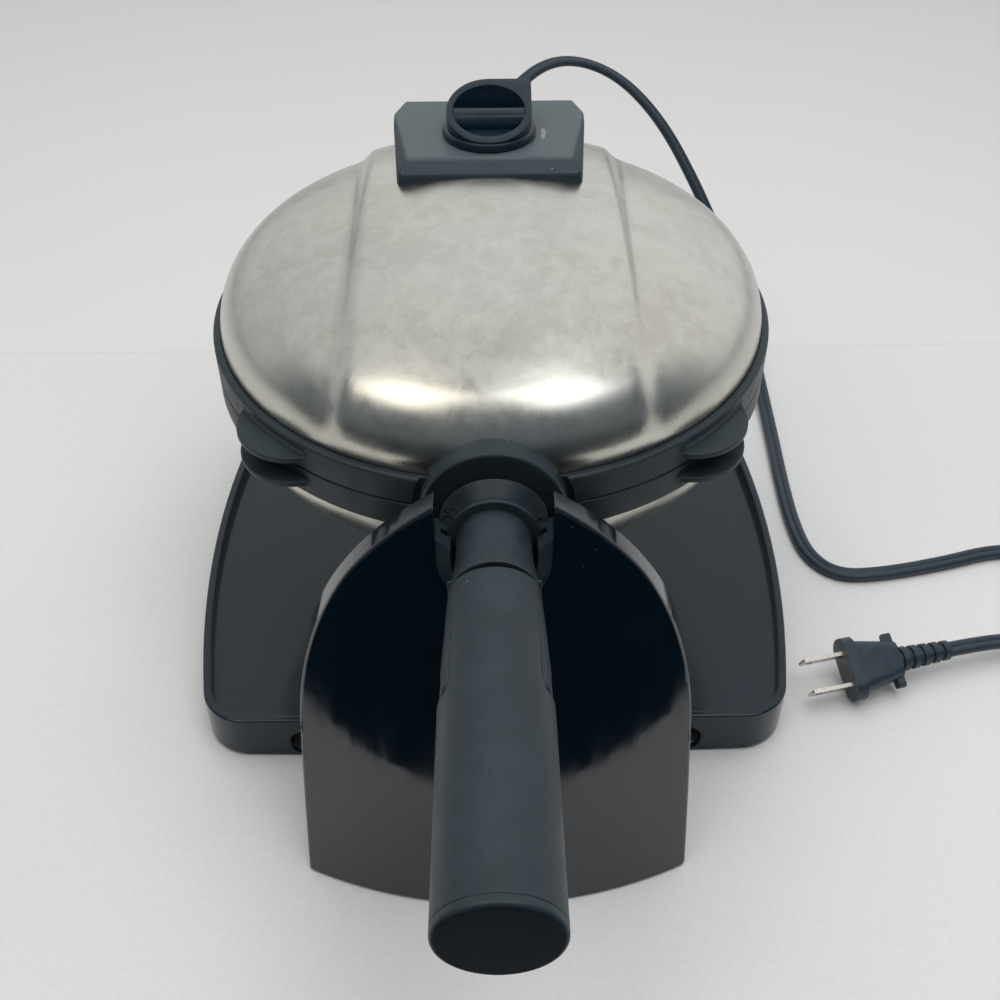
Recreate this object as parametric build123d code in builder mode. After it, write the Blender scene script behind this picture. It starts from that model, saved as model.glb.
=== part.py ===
from build123d import *
from math import atan2, cos, degrees, pi, radians, sin, sqrt, tan
import os

os.makedirs("parts", exist_ok=True)

# A rotating waffle maker: a round head that turns over in the fork of a pedestal, with a hinged
# lid, a folding handle and a drip tray. Lengths are in millimetres and angles in degrees.
# The origin is on the table under the middle of the whole object. +Y points to the rear.

# Places. Distances written as y are taken from the centre of the head, positive to the rear.
handle_reach = 248
hinge_reach = 116
head_y = (handle_reach - hinge_reach) / 2
axis_z = 129

# Rims: two mirrored rings that hold the grids
rim_r = 102
rim_height = 11
rim_chamfer = 0.9
rim_gap = 0.25
rim_ledge_r = 92
ledge_z = 3.6
ledge_thickness = 2.4
seat_clearance = 0.1
tab_r = 20
tab_centre_r = 91
tab_angle = 40.5
tab_thickness = 2.2
tab_z = 4

# Covers: pressed domes with a skirt that stands in the rim
cover_r = 99
cover_skin = 1.0
dome_height = 43
dome_shoulder_r = 26
band_extra_r = 0.5
band_rise = 5
band_shoulder_r = 30
band_width_low = 103
band_taper = 8.8

# Waffle grids
cavity_r = 88.6
cavity_draft = 1.6
flange_clearance = 0.2
flange_face_z = 0.6
grid_floor_z = 13
grid_wall = 3
stud_pitch = 19.5
stud_size = 12
stud_height = 9.5
stud_taper = 12
stud_field_r = 79
rib_width = 4
rib_face_z = 1.5
post_circle_r = 48
post_r = 4
post_height = 9

# Heaters and reflectors
heater_r = 62
heater_tube_r = 3.3
heater_gap_angle = 50
heater_bed_height = 2.2
terminal_r = 1.8
terminal_length = 11
reflector_r = 82
reflector_flat_r = 77
reflector_thickness = 0.8
reflector_lip = 5

# Screws
screw_circle_r = 94.4
screw_head_r = 2.9
screw_head_height = 1.8
screw_r = 1.5
screw_clearance = 0.1

# Collar and neck, turned round the flip axis
collar_r = 25.5
collar_front_y = -105.8
collar_back_y = -94
lid_collar_gap = 1.2
neck_root_r = 17.2
neck_root_length = 4.6
neck_r = 13.4
thrust_r = 16.6
thrust_front_y = -116
thrust_thickness = 1.6
sleeve_r = 15.4
sleeve_flare_y = -126
sleeve_end_y = -140

# Folding joint and grip
fold_y = -173
ear_thickness = 4.6
ear_half_height = 7
ear_clearance = 0.3
fold_pin_r = 3
running_clearance = 0.06
tongue_r = 14.6
tongue_gap = 0.8
grip_r = 16
grip_end_r = 16.4
grip_start_y = fold_y - 8
cap_thickness = 3
cap_spigot_r = 9
cap_spigot_length = 12

# Rear hinge of the lid
hinge_y = 108
hinge_z = 18
knuckle_r = 7
knuckle_gap = 0.3
hinge_half_width = 30
lid_knuckle_half = 21.7
hinge_pin_r = 2.5
hinge_pin_head_r = 3.8
hinge_pin_head = 1.5
hinge_block_low = 11

# Control housing and knob on the lid
housing_top_z = 64.2
housing_front_y = 6
housing_wide_y = 48
housing_rear_y = 57
housing_front_width = 65
housing_width = 70.6
housing_bevel = 4.5
arm_half_width = 35.3
arm_rise = 9
arm_low_z = 20
arm_end_y = 106
arm_hinge_r = 8.2
knob_y = 30
knob_gap = 0.4
knob_skirt_r = 17
knob_skirt_height = 2.5
knob_r = 15.5
knob_middle_z = 71.8
knob_slant = 14
knob_face_r = 12.4
knob_face_depth = 1.2
knob_bar_width = 6
knob_shaft_r = 3
bushing_r = 4.4
thermostat_size = (24, 20, 12)
thermostat_top_z = 53

# Pedestal: a moulded fork whose front is round about an upright axis
pedestal_wall = 2.5
pedestal_rear_y = -110.7
pedestal_axis_y = 6
pedestal_bottom_z = 1
pedestal_foot_r = 171
pedestal_middle_r = 155
pedestal_middle_z = 58.8
crease_r = 134
crease_z = 118
pedestal_top_r = 125.6
pedestal_top_z = 145.5
foot_half_width = 70
waist_half_width = 65.4
arch_centre_z = 59.7
arch_r = 101.4
slot_half_width = 18.1
slot_wall = 2.5
cradle_clearance = 0.1
cradle_bore_clearance = 0.08
cradle_inner_top = 1.5
cradle_outer_top = 5.5
cradle_recess = 1.2
cradle_inset = 0.5
cradle_length = 14.6
boss_r = 4.5
boss_x = 45
boss_y = -141
boss_screw_depth = 12
boss_screw_seat = 4
back_screw_x = 42
back_screw_z = (52, 92)

# Base frame under the tray, with its feet
frame_half_width = 60
frame_front_y = -150
frame_rear_y = 85
frame_top_z = 13.8
frame_bottom_z = 3
frame_wall = 2.5
frame_corner_r = 15
foot_r = 9
foot_x = 46
foot_front_y = -132
foot_rear_y = 68
foot_spigot_r = 3

# Drip tray
tray_half_width = 120.5
tray_half_depth = 100
tray_side_r = 441
tray_corner_r = 18
tray_bottom_z = 1.5
tray_top_z = 21.2
tray_lip = 3
tray_recess = 5
tray_floor = 2.2
tray_wall = 2.2
tray_notch_half = 78.5
tray_notch_r = 6

# Mains lead, its strain relief and its plug
cord_r = 2.5
relief_r = 6.2
relief_end_r = 4
relief_length = 26
relief_rib = 0.7
relief_ribs = 6
plug_face = (140, -4.5)
plug_turn = 13
plug_roll = 27
plug_flange_width = 25.5
plug_flange_height = 13
plug_flange_thickness = 4.4
plug_body_length = 17.6
plug_rear_width = 15
plug_rear_height = 10
plug_relief_length = 23
plug_relief_r = 5
plug_ribs = 5
blade_length = 17.2
blade_width = 6.35
blade_thickness = 1.5
blade_spacing = 12.7

# Planes and axes that the pieces share
head_side = Plane(origin=(0, head_y, axis_z), x_dir=(0, 1, 0), z_dir=(1, 0, 0))
base_side = Plane(origin=(0, head_y, 0), x_dir=(0, 1, 0), z_dir=(1, 0, 0))
parting_plane = Plane(origin=(0, head_y, axis_z), x_dir=(1, 0, 0), z_dir=(0, 0, 1))
head_axis = Axis((0, head_y, 0), (0, 0, 1))
flip_axis = Axis((0, head_y, axis_z), (0, 1, 0))


def level(z):
    """Plan plane of the head at height z above the flip axis."""
    return parting_plane.offset(z)


def floor_level(z):
    """Plan plane at height z above the table, with its origin under the head's centre."""
    return Plane(origin=(0, head_y, z), x_dir=(1, 0, 0), z_dir=(0, 0, 1))


def cross(y, z=0):
    """Plane square to the flip axis at y. Its local x is X and an extrusion runs forward."""
    return Plane(origin=(0, head_y + y, z), x_dir=(1, 0, 0), z_dir=(0, -1, 0))


def finish(builder, name):
    """Name a finished piece and write it."""
    builder.part.label = name
    export_step(builder.part, f"parts/{name}.step")


# Covers
def dome_form(radius, height, shoulder_r, low_z):
    """Dome on the rim's top: a tight shoulder arc, then a flat crown, with a skirt down to low_z."""
    crown_r = ((radius - shoulder_r) ** 2 + height ** 2 - shoulder_r ** 2) / (2 * (height - shoulder_r))
    crown_z = rim_height + height - crown_r
    meeting_angle = degrees(atan2(rim_height - crown_z, radius - shoulder_r))
    with BuildPart() as form:
        with BuildSketch(head_side):
            with BuildLine():
                Line((0, low_z), (radius, low_z))
                if low_z < rim_height:
                    Line((radius, low_z), (radius, rim_height))
                CenterArc((radius - shoulder_r, rim_height), shoulder_r, 0, meeting_angle)
                CenterArc((0, crown_z), crown_r, meeting_angle, 90 - meeting_angle)
                Line((0, rim_height + height), (0, low_z))
            make_face()
        revolve(axis=head_axis)
    return form.part


def band_form(grow, low_z):
    """Raised middle band: a slightly larger dome between two leaning side planes."""
    height = dome_height + band_rise + grow
    lean = tan(radians(band_taper))
    low = band_width_low / 2 + grow + lean * rim_height
    top = low - lean * (rim_height + height + 1)
    with BuildPart() as form:
        add(dome_form(cover_r + band_extra_r + grow, height, band_shoulder_r + grow, low_z))
        with BuildSketch(cross(rim_r * 1.2, axis_z)):
            with BuildLine():
                Polyline(
                    (-low, 0),
                    (low, 0),
                    (top, rim_height + height + 1),
                    (-top, rim_height + height + 1),
                    close=True,
                )
            make_face()
        extrude(amount=rim_r * 2.4, mode=Mode.INTERSECT)
    return form.part


def banded_form(grow, skirt_z, band_z):
    """Outside of the upper cover grown by a distance."""
    with BuildPart() as form:
        add(dome_form(cover_r + grow, dome_height + grow, dome_shoulder_r + grow, skirt_z))
        add(band_form(grow, band_z))
    return form.part


ledge_top = ledge_z + ledge_thickness
upper_outside = banded_form(0, ledge_top, rim_height)
upper_inside = banded_form(-cover_skin, ledge_top - 1, rim_height - 1)
lower_outside = dome_form(cover_r, dome_height, dome_shoulder_r, ledge_top)
lower_inside = dome_form(
    cover_r - cover_skin,
    dome_height - cover_skin,
    dome_shoulder_r - cover_skin,
    ledge_top - 1,
)
thermostat_spot = Plane(origin=(0, head_y + knob_y, axis_z), x_dir=(1, 0, 0), z_dir=(0, 0, 1))

with BuildPart() as upper_cover:
    add(upper_outside)
    add(upper_inside, mode=Mode.SUBTRACT)
    with BuildSketch(thermostat_spot):
        Circle(bushing_r + seat_clearance)
    extrude(amount=housing_top_z, mode=Mode.SUBTRACT)
finish(upper_cover, "upper_cover")

with BuildPart() as plain_cover:
    add(lower_outside)
    add(lower_inside, mode=Mode.SUBTRACT)

with BuildPart() as lower_cover:
    mirror(plain_cover.part, about=parting_plane)
finish(lower_cover, "lower_cover")

# Rims, with the tabs by which the head and the lid are lifted
with BuildPart() as rim:
    with BuildSketch(head_side):
        with BuildLine():
            Polyline(
                (cover_r - cover_skin, rim_gap),
                (rim_r, rim_gap),
                (rim_r, rim_height - rim_chamfer),
                (rim_r - rim_chamfer, rim_height),
                (cover_r + seat_clearance, rim_height),
                (cover_r + seat_clearance, ledge_top),
                (rim_ledge_r, ledge_top),
                (rim_ledge_r, ledge_z),
                (cover_r - cover_skin, ledge_z),
                close=True,
            )
        make_face()
    revolve(axis=head_axis)
    with BuildSketch(level(tab_z)):
        with Locations(*[(tab_centre_r * side * cos(radians(tab_angle)),
                          -tab_centre_r * sin(radians(tab_angle))) for side in (-1, 1)]):
            Circle(tab_r)
        Circle(rim_r - rim_chamfer, mode=Mode.SUBTRACT)
    extrude(amount=tab_thickness)
    with BuildSketch(cross(-(cover_r - cover_skin), axis_z)):
        Circle(collar_r + seat_clearance)
    extrude(amount=rim_r, mode=Mode.SUBTRACT)
    with BuildSketch(level(ledge_z)):
        with PolarLocations(screw_circle_r, 4, start_angle=45):
            Circle(screw_r + screw_clearance)
    extrude(amount=ledge_thickness, mode=Mode.SUBTRACT)

with BuildPart() as upper_rim:
    add(rim.part)
finish(upper_rim, "upper_rim")

with BuildPart() as lower_rim:
    mirror(rim.part, about=parting_plane)
finish(lower_rim, "lower_rim")

# Waffle grids: a dish with tapered studs, two cross ribs, a bed for the heater and four posts
grid_back_z = grid_floor_z + grid_wall
heater_z = grid_back_z + heater_tube_r + seat_clearance
flange_r = cover_r - cover_skin - flange_clearance
stud_places = [
    (stud_pitch * (i + 0.5), stud_pitch * (j + 0.5))
    for i in range(-5, 5)
    for j in range(-5, 5)
    if sqrt((i + 0.5) ** 2 + (j + 0.5) ** 2) * stud_pitch < stud_field_r
]

with BuildPart() as grid:
    with BuildSketch(head_side):
        with BuildLine():
            Polyline(
                (0, grid_floor_z),
                (cavity_r - cavity_draft, grid_floor_z),
                (cavity_r, flange_face_z),
                (flange_r, flange_face_z),
                (flange_r, ledge_z),
                (cavity_r + grid_wall, ledge_z),
                (cavity_r + grid_wall - cavity_draft, grid_back_z),
                (heater_r + heater_tube_r + 1.5, grid_back_z),
                (heater_r + heater_tube_r + 1.5, grid_back_z + heater_bed_height),
                (heater_r - heater_tube_r - 1.5, grid_back_z + heater_bed_height),
                (heater_r - heater_tube_r - 1.5, grid_back_z),
                (0, grid_back_z),
                close=True,
            )
        make_face()
    revolve(axis=head_axis)
    with BuildSketch(head_side):
        with Locations((heater_r, heater_z)):
            Circle(heater_tube_r + seat_clearance / 2)
    revolve(axis=head_axis, mode=Mode.SUBTRACT)
    with BuildSketch(level(grid_floor_z)):
        with Locations(*stud_places):
            Rectangle(stud_size, stud_size)
    extrude(amount=-stud_height, taper=stud_taper)
    with BuildSketch(level(rib_face_z)):
        with Locations((0, 0)):
            Rectangle(2 * cavity_r - cavity_draft, rib_width)
            Rectangle(rib_width, 2 * cavity_r - cavity_draft)
    extrude(amount=grid_floor_z - rib_face_z)
    with BuildSketch(level(grid_back_z)):
        with PolarLocations(post_circle_r, 4, start_angle=45):
            Circle(post_r)
    extrude(amount=post_height)
    with BuildSketch(level(grid_back_z + post_height)):
        with PolarLocations(post_circle_r, 4, start_angle=45):
            Circle(screw_r)
    extrude(amount=-post_height, mode=Mode.SUBTRACT)
    with BuildSketch(level(ledge_z)):
        with PolarLocations(screw_circle_r, 4, start_angle=45):
            Circle(screw_r)
    extrude(amount=-2, mode=Mode.SUBTRACT)

with BuildPart() as upper_grid:
    add(grid.part)
finish(upper_grid, "upper_grid")

with BuildPart() as lower_grid:
    mirror(grid.part, about=parting_plane)
finish(lower_grid, "lower_grid")

# Heaters: an open ring of tube with a terminal pin at each end
terminal_angles = [90 + heater_gap_angle / 2, 90 - heater_gap_angle / 2]
terminal_places = [(heater_r * cos(radians(a)), heater_r * sin(radians(a))) for a in terminal_angles]

with BuildPart() as heater:
    with BuildSketch(Plane(
        origin=(terminal_places[0][0], head_y + terminal_places[0][1], axis_z + heater_z),
        x_dir=(cos(radians(terminal_angles[0])), sin(radians(terminal_angles[0])), 0),
        z_dir=(-sin(radians(terminal_angles[0])), cos(radians(terminal_angles[0])), 0),
    )):
        Circle(heater_tube_r)
    revolve(axis=head_axis, revolution_arc=360 - heater_gap_angle)
    with BuildSketch(level(heater_z)):
        with Locations(*terminal_places):
            Circle(terminal_r)
    extrude(amount=terminal_length)

with BuildPart() as upper_element:
    add(heater.part)
finish(upper_element, "upper_element")

with BuildPart() as lower_element:
    mirror(heater.part, about=parting_plane)
finish(lower_element, "lower_element")

# Reflectors: pans that stand on the posts behind the heaters
reflector_z = grid_back_z + post_height

with BuildPart() as pan:
    with BuildSketch(head_side):
        with BuildLine():
            Polyline(
                (0, reflector_z),
                (reflector_flat_r, reflector_z),
                (reflector_r, reflector_z - reflector_lip),
                (reflector_r + reflector_thickness, reflector_z - reflector_lip),
                (reflector_flat_r + reflector_thickness / 2, reflector_z + reflector_thickness),
                (0, reflector_z + reflector_thickness),
                close=True,
            )
        make_face()
    revolve(axis=head_axis)
    with BuildSketch(level(reflector_z)):
        with PolarLocations(post_circle_r, 4, start_angle=45):
            Circle(screw_r + screw_clearance)
        with Locations(*terminal_places):
            Circle(terminal_r + 1.5)
    extrude(amount=reflector_thickness, mode=Mode.SUBTRACT)

with BuildPart() as upper_reflector:
    add(pan.part)
finish(upper_reflector, "upper_reflector")

with BuildPart() as lower_reflector:
    mirror(pan.part, about=parting_plane)
finish(lower_reflector, "lower_reflector")

# Screws of one half: four through the rim's ledge and four through the reflector
with BuildPart() as half_screws:
    with BuildSketch(level(ledge_top)):
        with PolarLocations(screw_circle_r, 4, start_angle=45):
            Circle(screw_head_r)
    extrude(amount=screw_head_height)
    with BuildSketch(level(ledge_top)):
        with PolarLocations(screw_circle_r, 4, start_angle=45):
            Circle(screw_r)
    extrude(amount=-(ledge_thickness + 2))
    with BuildSketch(level(reflector_z + reflector_thickness)):
        with PolarLocations(post_circle_r, 4, start_angle=45):
            Circle(screw_head_r)
    extrude(amount=screw_head_height)
    with BuildSketch(level(reflector_z + reflector_thickness)):
        with PolarLocations(post_circle_r, 4, start_angle=45):
            Circle(screw_r)
    extrude(amount=-(post_height - 1))

with BuildPart() as upper_screws:
    add(half_screws.part)
finish(upper_screws, "upper_screws")

with BuildPart() as lower_screws:
    mirror(half_screws.part, about=parting_plane)
finish(lower_screws, "lower_screws")


# Collar: its upper half rides on the lid and its lower half carries the neck
def collar_half(front_y):
    """Upper half of the collar, shaped at the back to the rim and the dome."""
    with BuildPart() as half:
        with BuildSketch(cross(collar_back_y, axis_z)):
            Circle(collar_r)
            with Locations((0, -collar_r + rim_gap)):
                Rectangle(4 * collar_r, 2 * collar_r, mode=Mode.SUBTRACT)
        extrude(amount=collar_back_y - front_y)
        fillet(half.faces().sort_by(Axis.Y)[0].edges().filter_by(GeomType.CIRCLE), 1.2)
        with BuildSketch(level(0)):
            Circle(cover_r - cover_skin + seat_clearance)
        extrude(amount=rim_height + seat_clearance, mode=Mode.SUBTRACT)
        with BuildSketch(level(0)):
            Circle(rim_r)
            with Locations((0, rim_r - cover_r + cover_skin)):
                Rectangle(3 * rim_r, 2 * rim_r, mode=Mode.INTERSECT)
        extrude(amount=rim_height + seat_clearance, mode=Mode.SUBTRACT)
        add(lower_outside, mode=Mode.SUBTRACT)
        add(upper_outside, mode=Mode.SUBTRACT)
    return half.part


lid_half = collar_half(collar_front_y + lid_collar_gap)
neck_half = collar_half(collar_front_y)

with BuildPart() as lid_collar:
    add(lid_half)
finish(lid_collar, "lid_collar")

# Neck: journal with a thrust flange, then a flared sleeve that ends in the two ears of the fork
ear_inner = sleeve_r - ear_thickness

with BuildPart() as handle_neck:
    mirror(neck_half, about=parting_plane)
    with BuildSketch(head_side):
        with BuildLine():
            Polyline(
                (collar_front_y, 0),
                (sleeve_end_y, 0),
                (sleeve_end_y, sleeve_r),
                (sleeve_flare_y, neck_r),
                (thrust_front_y, neck_r),
                (thrust_front_y, thrust_r),
                (thrust_front_y + thrust_thickness, thrust_r),
                (thrust_front_y + thrust_thickness, neck_r),
                (collar_front_y - neck_root_length, neck_r),
                (collar_front_y, neck_root_r),
                close=True,
            )
        make_face()
    revolve(axis=flip_axis)
    with BuildSketch(Plane(origin=(-sleeve_r, head_y, axis_z), x_dir=(0, 1, 0), z_dir=(1, 0, 0))):
        with BuildLine():
            Line((sleeve_end_y + 1, ear_half_height), (fold_y, ear_half_height))
            CenterArc((fold_y, 0), ear_half_height, 90, 180)
            Line((fold_y, -ear_half_height), (sleeve_end_y + 1, -ear_half_height))
            Line((sleeve_end_y + 1, -ear_half_height), (sleeve_end_y + 1, ear_half_height))
        make_face()
        with Locations((fold_y, 0)):
            Circle(fold_pin_r, mode=Mode.SUBTRACT)
    extrude(amount=2 * sleeve_r)
    with BuildSketch(cross(sleeve_end_y, axis_z)):
        Rectangle(2 * ear_inner, 2 * sleeve_r)
    extrude(amount=sleeve_end_y - fold_y + sleeve_r, mode=Mode.SUBTRACT)
    with BuildSketch(cross(sleeve_end_y, axis_z)):
        Circle(2 * sleeve_r)
        Circle(sleeve_r, mode=Mode.SUBTRACT)
    extrude(amount=sleeve_end_y - fold_y + sleeve_r, mode=Mode.SUBTRACT)
finish(handle_neck, "handle_neck")

with BuildPart() as fold_pin:
    with BuildSketch(Plane(origin=(0, head_y + fold_y, axis_z), x_dir=(0, 1, 0), z_dir=(1, 0, 0))):
        Circle(fold_pin_r)
    extrude(amount=sleeve_r - 0.5, both=True)
finish(fold_pin, "fold_pin")

# Grip: its tongue fits between the ears, and open pockets let the ears swing down and out
grip_body_end_y = -handle_reach + cap_thickness
tongue_reach = sleeve_end_y - tongue_gap - fold_y
pocket_r = ear_half_height + ear_clearance

with BuildPart() as handle_grip:
    with BuildSketch(head_side):
        with BuildLine():
            Polyline(
                (fold_y + tongue_reach, 0),
                (grip_body_end_y, 0),
                (grip_body_end_y, grip_end_r),
                (grip_start_y, grip_r),
                (grip_start_y, tongue_r),
                (fold_y + tongue_reach, tongue_r),
                close=True,
            )
        make_face()
    revolve(axis=flip_axis)
    with BuildSketch(head_side):
        with Locations((fold_y, -tongue_reach)):
            Rectangle(4 * tongue_reach, 2 * tongue_reach)
        with Locations((fold_y - 2 * tongue_reach, -tongue_reach)):
            Rectangle(4 * tongue_reach, 2 * tongue_reach, mode=Mode.SUBTRACT)
        with Locations((fold_y, 0)):
            Circle(tongue_reach, mode=Mode.SUBTRACT)
    extrude(amount=2 * grip_r, both=True, mode=Mode.SUBTRACT)
    for side in (-1, 1):
        inner = ear_inner - ear_clearance
        with BuildSketch(Plane(origin=(side * inner, head_y, axis_z), x_dir=(0, 1, 0), z_dir=(1, 0, 0))):
            with Locations((fold_y, 0)):
                Circle(pocket_r)
            with Locations((fold_y + tongue_reach, pocket_r - 2 * tongue_reach)):
                Rectangle(2 * tongue_reach, 4 * tongue_reach)
            with Locations((fold_y, -tongue_reach)):
                Rectangle(2 * pocket_r, 2 * tongue_reach)
        extrude(amount=side * grip_r, mode=Mode.SUBTRACT)
    with BuildSketch(Plane(origin=(0, head_y + fold_y, axis_z), x_dir=(0, 1, 0), z_dir=(1, 0, 0))):
        Circle(fold_pin_r + running_clearance)
    extrude(amount=grip_r, both=True, mode=Mode.SUBTRACT)
    with BuildSketch(cross(grip_body_end_y, axis_z)):
        Circle(cap_spigot_r + seat_clearance / 2)
    extrude(amount=-(cap_spigot_length + seat_clearance), mode=Mode.SUBTRACT)
finish(handle_grip, "handle_grip")

with BuildPart() as grip_end_cap:
    with BuildSketch(cross(grip_body_end_y, axis_z)):
        Circle(grip_end_r)
    extrude(amount=cap_thickness)
    fillet(grip_end_cap.faces().sort_by(Axis.Y)[0].edges(), 1.5)
    with BuildSketch(cross(grip_body_end_y, axis_z)):
        Circle(cap_spigot_r)
    extrude(amount=-cap_spigot_length)
finish(grip_end_cap, "grip_end_cap")

# Rear hinge: block on the lower rim, side knuckles, and a gland on the flip axis
hinge_plane = Plane(origin=(0, head_y + hinge_y, axis_z + hinge_z), x_dir=(0, 1, 0), z_dir=(1, 0, 0))
gland_r = relief_r - 1.2
gland_depth = 8

with BuildPart() as hinge_base:
    with BuildSketch(level(-hinge_block_low)):
        with Locations((0, hinge_reach / 2 + rim_r / 2 - 4)):
            Rectangle(2 * hinge_half_width, hinge_reach - rim_r + 8)
    extrude(amount=hinge_block_low + hinge_z - knuckle_r - knuckle_gap)
    fillet(hinge_base.edges().filter_by(Axis.Z).group_by(Axis.Y)[-1], 4)
    fillet(hinge_base.faces().sort_by(Axis.Z)[0].edges().group_by(Axis.Y)[-1], 2)
    for side in (-1, 1):
        with BuildSketch(hinge_plane.offset(side * (lid_knuckle_half + knuckle_gap))):
            Circle(knuckle_r)
            with Locations((0, -hinge_z / 2)):
                Rectangle(2 * knuckle_r, hinge_z)
        extrude(amount=side * (hinge_half_width - lid_knuckle_half - knuckle_gap))
    with BuildSketch(level(-hinge_block_low - 1)):
        Circle(rim_r)
    extrude(amount=hinge_block_low + 1 - rim_gap, mode=Mode.SUBTRACT)
    with BuildSketch(level(-rim_gap)):
        Circle(rim_r + 0.4)
    extrude(amount=rim_height + 1, mode=Mode.SUBTRACT)
    with BuildSketch(hinge_plane):
        Circle(hinge_pin_r)
    extrude(amount=2 * hinge_half_width, both=True, mode=Mode.SUBTRACT)
    with BuildSketch(cross(hinge_reach, axis_z)):
        Circle(gland_r)
    extrude(amount=gland_depth, mode=Mode.SUBTRACT)
finish(hinge_base, "hinge_base")

with BuildPart() as hinge_pin:
    with BuildSketch(hinge_plane):
        Circle(hinge_pin_r)
    extrude(amount=hinge_half_width, both=True)
    for side in (-1, 1):
        with BuildSketch(hinge_plane.offset(side * hinge_half_width)):
            Circle(hinge_pin_head_r)
        extrude(amount=side * hinge_pin_head)
finish(hinge_pin, "hinge_pin")

with BuildPart() as lid_hinge_arm:
    with BuildSketch(hinge_plane):
        Circle(knuckle_r)
        with BuildLine():
            Polyline(
                (rim_r - hinge_y - 6, rim_height - hinge_z),
                (0, rim_height - hinge_z),
                (0, 0),
                (-3, arm_low_z - hinge_z),
                (rim_r - hinge_y - 6, arm_low_z - hinge_z),
                close=True,
            )
        make_face()
    extrude(amount=lid_knuckle_half, both=True)
    add(upper_outside, mode=Mode.SUBTRACT)
    with BuildSketch(hinge_plane):
        Circle(hinge_pin_r + running_clearance)
    extrude(amount=2 * lid_knuckle_half, both=True, mode=Mode.SUBTRACT)
finish(lid_hinge_arm, "lid_hinge_arm")

# Control housing: a bevelled box on the band, with an arm down the back of the dome
arm_form = banded_form(arm_rise, ledge_top, rim_height)

with BuildPart() as housing_arm:
    add(arm_form)
    with BuildSketch(level(arm_low_z)):
        with Locations((0, (housing_wide_y + arm_end_y) / 2)):
            Rectangle(2 * arm_half_width, arm_end_y - housing_wide_y)
    extrude(amount=housing_top_z - arm_low_z, mode=Mode.INTERSECT)

with BuildPart() as control_housing:
    with BuildSketch(level(arm_low_z)):
        with BuildLine():
            Polyline(
                (-housing_front_width / 2, housing_front_y),
                (housing_front_width / 2, housing_front_y),
                (housing_width / 2, housing_wide_y),
                (housing_width / 2 - 5, housing_rear_y),
                (5 - housing_width / 2, housing_rear_y),
                (-housing_width / 2, housing_wide_y),
                close=True,
            )
        make_face()
    extrude(amount=housing_top_z - arm_low_z)
    chamfer(control_housing.faces().sort_by(Axis.Z)[-1].edges(), housing_bevel)
    add(housing_arm.part)
    add(upper_outside, mode=Mode.SUBTRACT)
    with BuildSketch(hinge_plane):
        Circle(arm_hinge_r)
    extrude(amount=2 * arm_half_width, both=True, mode=Mode.SUBTRACT)
    with BuildSketch(thermostat_spot):
        Circle(bushing_r + seat_clearance)
    extrude(amount=housing_top_z + 1, mode=Mode.SUBTRACT)
finish(control_housing, "control_housing")

with BuildPart() as thermostat:
    with BuildSketch(thermostat_spot.offset(thermostat_top_z)):
        Rectangle(thermostat_size[0], thermostat_size[1])
    extrude(amount=-thermostat_size[2])
    with BuildSketch(thermostat_spot.offset(thermostat_top_z)):
        Circle(2 * bushing_r)
    extrude(amount=housing_top_z - thermostat_top_z)
    add(upper_inside, mode=Mode.INTERSECT)
    with BuildSketch(thermostat_spot.offset(thermostat_top_z)):
        Circle(bushing_r)
    extrude(amount=housing_top_z - thermostat_top_z)
    with BuildSketch(thermostat_spot.offset(thermostat_top_z - thermostat_size[2] / 2)):
        Circle(knob_shaft_r + running_clearance)
    extrude(amount=housing_top_z - thermostat_top_z + thermostat_size[2], mode=Mode.SUBTRACT)
finish(thermostat, "thermostat")

# Browning knob: round with one squared corner as its pointer, and a slanted, dished face
knob_low_z = housing_top_z + knob_gap
knob_face = Plane(
    origin=(0, head_y + knob_y, axis_z + knob_middle_z),
    x_dir=(1, 0, 0),
    z_dir=(0, -sin(radians(knob_slant)), cos(radians(knob_slant))),
)

with BuildPart() as browning_knob:
    with BuildSketch(thermostat_spot.offset(knob_low_z + knob_skirt_height)):
        Circle(knob_r)
        with Locations((knob_r / 2, knob_r / 2)):
            Rectangle(knob_r, knob_r)
    extrude(amount=2 * knob_r)
    split(bisect_by=knob_face, keep=Keep.BOTTOM)
    with BuildSketch(thermostat_spot.offset(knob_low_z)):
        Circle(knob_skirt_r)
    extrude(amount=knob_skirt_height)
    with BuildSketch(knob_face):
        Circle(knob_face_r)
        Rectangle(2 * knob_face_r + 1, knob_bar_width, mode=Mode.SUBTRACT)
    extrude(amount=-knob_face_depth, mode=Mode.SUBTRACT)
    with BuildSketch(thermostat_spot.offset(knob_low_z)):
        Circle(knob_shaft_r)
    extrude(amount=knob_middle_z - knob_low_z - 2 * knob_face_depth, mode=Mode.SUBTRACT)
finish(browning_knob, "browning_knob")

with BuildPart() as knob_shaft:
    with BuildSketch(thermostat_spot.offset(thermostat_top_z - thermostat_size[2] / 2 + 1)):
        Circle(knob_shaft_r)
    extrude(amount=knob_middle_z - 2 * knob_face_depth - thermostat_top_z + thermostat_size[2] / 2 - 1)
finish(knob_shaft, "knob_shaft")


# Pedestal
def arch_sketch_points(inset):
    """Right half of the arch seen from the front, drawn in by inset."""
    centre_x = waist_half_width - arch_r
    radius = arch_r - inset
    slot_x = slot_half_width + inset
    top_z = arch_centre_z + sqrt(radius ** 2 - (slot_x - centre_x) ** 2)
    middle_angle = 0.5 * pi / 2 * 0.62
    middle = (centre_x + radius * cos(middle_angle), arch_centre_z + radius * sin(middle_angle))
    return slot_x, top_z, middle


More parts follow.
